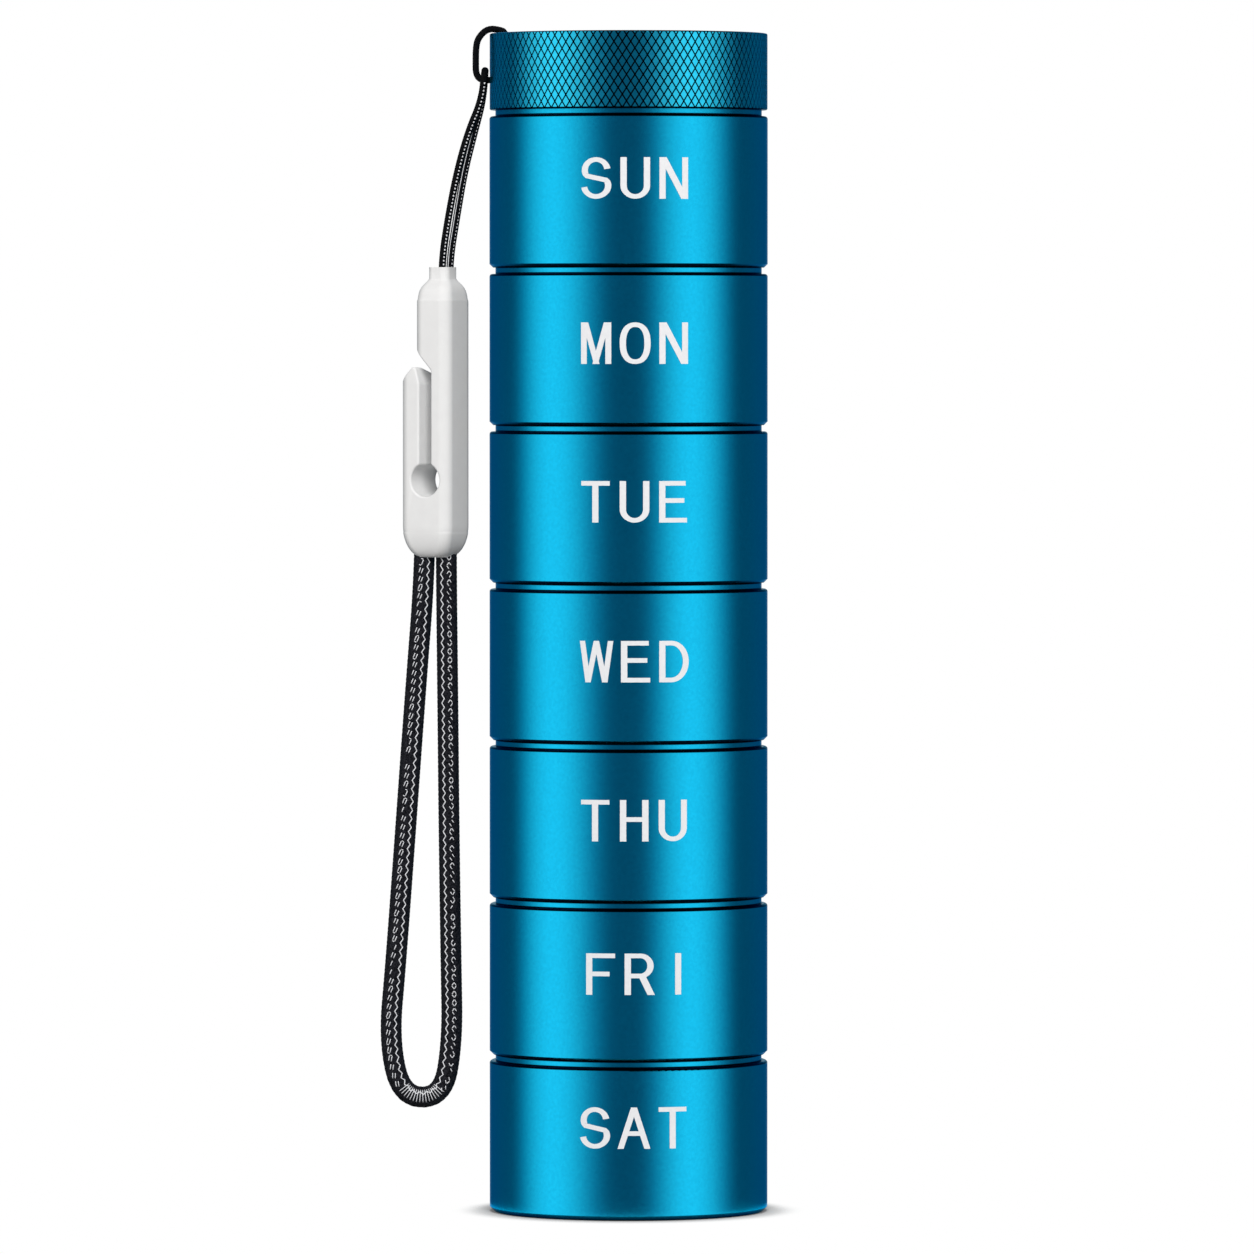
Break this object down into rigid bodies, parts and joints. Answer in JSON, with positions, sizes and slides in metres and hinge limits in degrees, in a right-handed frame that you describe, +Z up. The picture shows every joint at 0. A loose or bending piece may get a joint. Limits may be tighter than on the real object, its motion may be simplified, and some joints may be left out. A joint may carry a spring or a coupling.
{
  "type": "weekly pill organizer",
  "caption": "Round stack of screw-together anodised pill cups marked with weekdays, a knurled screw cap and a wrist lanyard with a hook clip.",
  "frame": {"origin": "middle of the base of the lowest cup", "axes": "+Z up along the stack, the weekday marks face -Y, the lanyard hangs on the -X side"},
  "size_m": [0.0488, 0.035, 0.1493],
  "materials": {
    "cup": "satin blue anodised",
    "cap": "knurled blue anodised",
    "seal": "matt black",
    "thin_cord": "black cord with a white dotted thread",
    "clip": "satin white",
    "wrist_cord": "black braid with white zigzag threads"
  },
  "bodies": {
    "cup_sat": {"cup_sat": "cup"},
    "ring_sat": {"o_ring_sat": "seal"},
    "cup_fri": {"cup_fri": "cup"},
    "ring_fri": {"o_ring_fri": "seal"},
    "cup_thu": {"cup_thu": "cup"},
    "ring_thu": {"o_ring_thu": "seal"},
    "cup_wed": {"cup_wed": "cup"},
    "ring_wed": {"o_ring_wed": "seal"},
    "cup_tue": {"cup_tue": "cup"},
    "ring_tue": {"o_ring_tue": "seal"},
    "cup_mon": {"cup_mon": "cup"},
    "ring_mon": {"o_ring_mon": "seal"},
    "cup_sun": {"cup_sun": "cup"},
    "ring_sun": {"o_ring_sun": "seal"},
    "cap": {"cap": "cap", "tether_loop": "thin_cord"},
    "lanyard": {"strap_cord": "thin_cord", "lanyard_clip": "clip", "wrist_cord": "wrist_cord"}
  },
  "joints": [
    {"name": "fri_turn", "type": "hinge", "parent": "cup_sat", "child": "ring_sat", "pos_m": [0, 0, 0.0198], "axis": [0, 0, 1], "range_deg": [0, 720]},
    {"name": "fri_lift", "type": "slide", "parent": "ring_sat", "child": "cup_fri", "axis": [0, 0, 1], "range_m": [0, 0.006]},
    {"name": "thu_turn", "type": "hinge", "parent": "cup_fri", "child": "ring_fri", "pos_m": [0, 0, 0.0396], "axis": [0, 0, 1], "range_deg": [0, 720]},
    {"name": "thu_lift", "type": "slide", "parent": "ring_fri", "child": "cup_thu", "axis": [0, 0, 1], "range_m": [0, 0.006]},
    {"name": "wed_turn", "type": "hinge", "parent": "cup_thu", "child": "ring_thu", "pos_m": [0, 0, 0.0594], "axis": [0, 0, 1], "range_deg": [0, 720]},
    {"name": "wed_lift", "type": "slide", "parent": "ring_thu", "child": "cup_wed", "axis": [0, 0, 1], "range_m": [0, 0.006]},
    {"name": "tue_turn", "type": "hinge", "parent": "cup_wed", "child": "ring_wed", "pos_m": [0, 0, 0.0792], "axis": [0, 0, 1], "range_deg": [0, 720]},
    {"name": "tue_lift", "type": "slide", "parent": "ring_wed", "child": "cup_tue", "axis": [0, 0, 1], "range_m": [0, 0.006]},
    {"name": "mon_turn", "type": "hinge", "parent": "cup_tue", "child": "ring_tue", "pos_m": [0, 0, 0.099], "axis": [0, 0, 1], "range_deg": [0, 720]},
    {"name": "mon_lift", "type": "slide", "parent": "ring_tue", "child": "cup_mon", "axis": [0, 0, 1], "range_m": [0, 0.006]},
    {"name": "sun_turn", "type": "hinge", "parent": "cup_mon", "child": "ring_mon", "pos_m": [0, 0, 0.1188], "axis": [0, 0, 1], "range_deg": [0, 720]},
    {"name": "sun_lift", "type": "slide", "parent": "ring_mon", "child": "cup_sun", "axis": [0, 0, 1], "range_m": [0, 0.006]},
    {"name": "cap_turn", "type": "hinge", "parent": "cup_sun", "child": "ring_sun", "pos_m": [0, 0, 0.1386], "axis": [0, 0, 1], "range_deg": [0, 720]},
    {"name": "cap_lift", "type": "slide", "parent": "ring_sun", "child": "cap", "axis": [0, 0, 1], "range_m": [0, 0.006]},
    {"name": "lanyard_swing", "type": "hinge", "parent": "cap", "child": "lanyard", "pos_m": [-0.01815, 0, 0.1424], "axis": [1, 0, 0], "range_deg": [-90, 90]}
  ],
  "couplings": [
    {"joint": "fri_lift", "follows": "fri_turn", "m_per_rad": 0.00047746},
    {"joint": "thu_lift", "follows": "thu_turn", "m_per_rad": 0.00047746},
    {"joint": "wed_lift", "follows": "wed_turn", "m_per_rad": 0.00047746},
    {"joint": "tue_lift", "follows": "tue_turn", "m_per_rad": 0.00047746},
    {"joint": "mon_lift", "follows": "mon_turn", "m_per_rad": 0.00047746},
    {"joint": "sun_lift", "follows": "sun_turn", "m_per_rad": 0.00047746},
    {"joint": "cap_lift", "follows": "cap_turn", "m_per_rad": 0.00047746}
  ]
}
